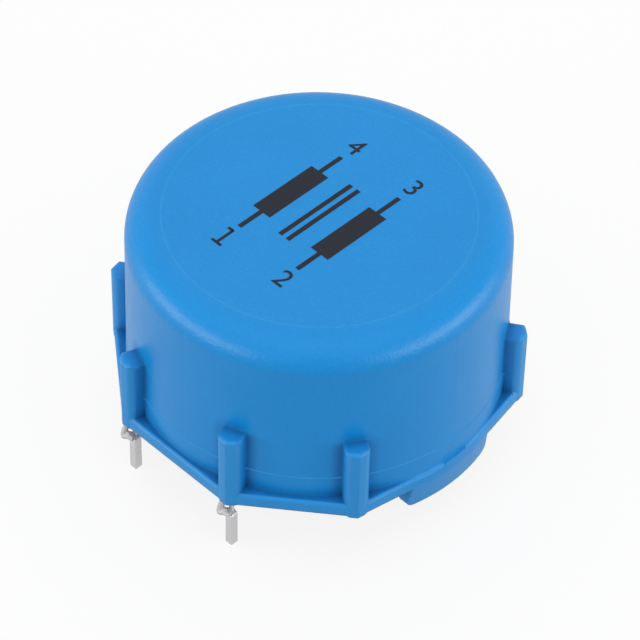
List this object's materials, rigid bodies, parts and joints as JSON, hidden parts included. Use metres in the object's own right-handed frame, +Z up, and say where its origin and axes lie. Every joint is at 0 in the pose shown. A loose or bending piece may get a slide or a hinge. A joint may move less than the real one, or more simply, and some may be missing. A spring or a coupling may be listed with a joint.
{
  "type": "common mode choke",
  "caption": "Ring core common mode choke in a round moulded case with a ribbed flange, potted from below, standing on square pins in two rows for a printed circuit board.",
  "frame": {"origin": "on the axis of the case, in the plane of the pin tips", "axes": "+Z up along the axis of the case, the two pin rows towards -Y and +Y, the two feet towards -X and +X"},
  "size_m": [0.0422, 0.0426, 0.0304],
  "materials": {
    "case_plastic": "moulded, fine grain, soft sheen",
    "potting_resin": "cast resin, slightly uneven",
    "ferrite": "sintered, matt",
    "separator_plastic": "moulded",
    "copper_wire": "enamelled copper, tinned at its ends",
    "tinned_pin": "tinned, drawn"
  },
  "bodies": {
    "root": {"case": "case_plastic", "potting": "potting_resin", "ferrite_core": "ferrite", "winding_separator": "separator_plastic", "winding_a": "copper_wire", "winding_b": "copper_wire", "pin_1": "tinned_pin", "pin_2": "tinned_pin", "pin_3": "tinned_pin", "pin_4": "tinned_pin"}
  },
  "joints": []
}
